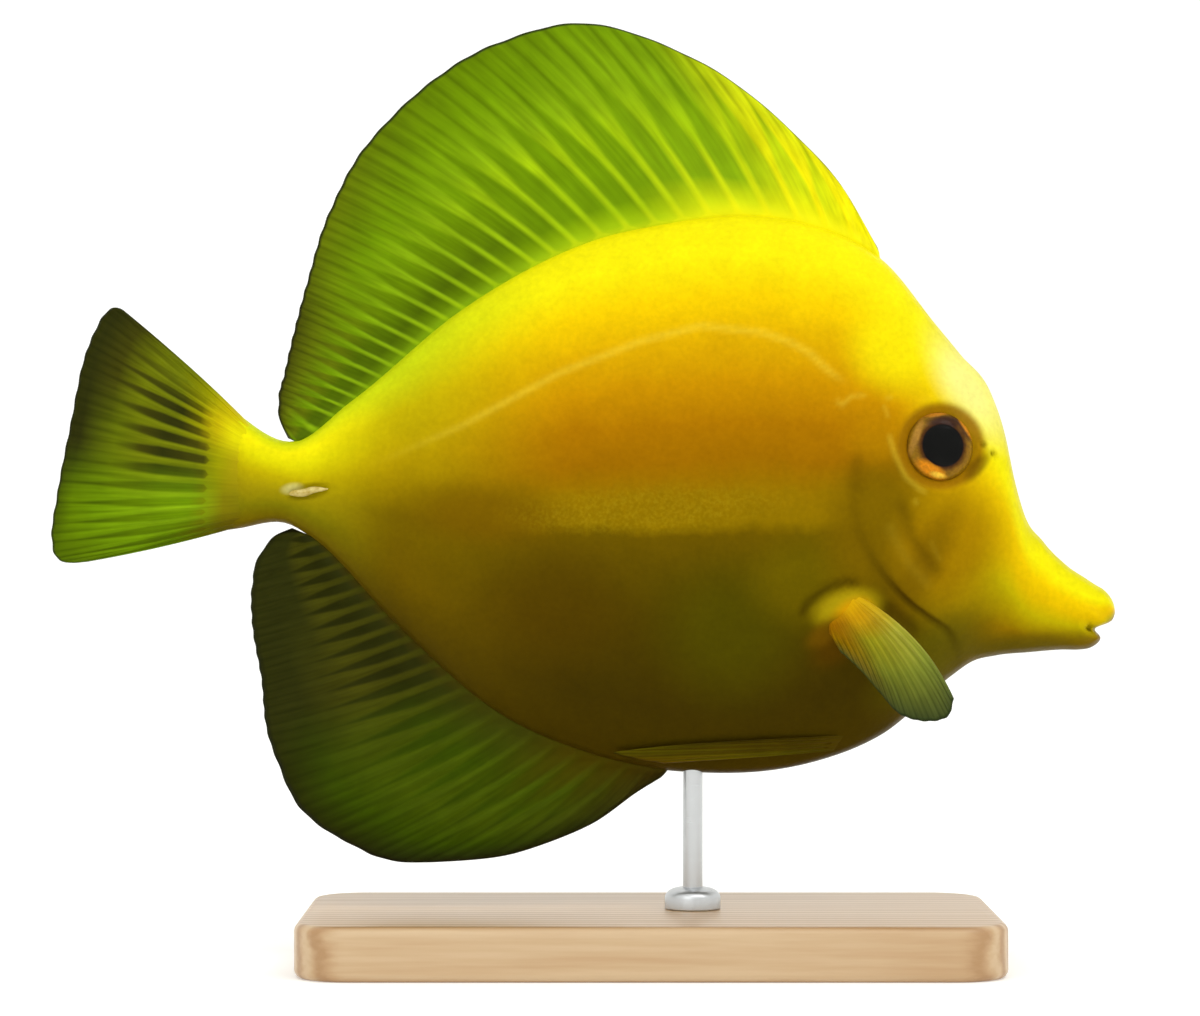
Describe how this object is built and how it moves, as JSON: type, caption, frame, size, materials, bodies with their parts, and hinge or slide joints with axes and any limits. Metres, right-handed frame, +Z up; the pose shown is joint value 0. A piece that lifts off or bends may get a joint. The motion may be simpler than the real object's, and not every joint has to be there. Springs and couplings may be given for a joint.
{
  "type": "yellow tang fish model",
  "caption": "Still, life-size model of a yellow tang, a deep flat sea fish with a pointed snout and sail-like fins, held by a rod on a flat display base.",
  "frame": {"origin": "middle of the model's box on the surface that the stand rests on", "axes": "+X towards the snout, +Y towards the fish's left side, +Z up"},
  "size_m": [0.1599, 0.0614, 0.1412],
  "materials": {
    "skin": "satin",
    "tail_skin": "satin",
    "back_fin": "satin",
    "belly_fin": "satin",
    "tail_fin": "satin",
    "side_fin": "satin",
    "eye": "gloss",
    "spine": "satin",
    "base_wood": "satin",
    "rod_steel": "brushed"
  },
  "bodies": {
    "root": {"head": "skin", "gill_cover_left": "skin", "gill_cover_right": "skin", "torso": "skin", "caudal_peduncle": "tail_skin", "dorsal_fin": "back_fin", "anal_fin": "belly_fin", "caudal_fin": "tail_fin", "pectoral_fin_left": "side_fin", "pectoral_fin_right": "side_fin", "pelvic_fin_left": "side_fin", "pelvic_fin_right": "side_fin", "eye_left": "eye", "eye_right": "eye", "caudal_spine_left": "spine", "caudal_spine_right": "spine", "stand_base": "base_wood", "stand_rod": "rod_steel", "stand_collar": "rod_steel"}
  },
  "joints": []
}
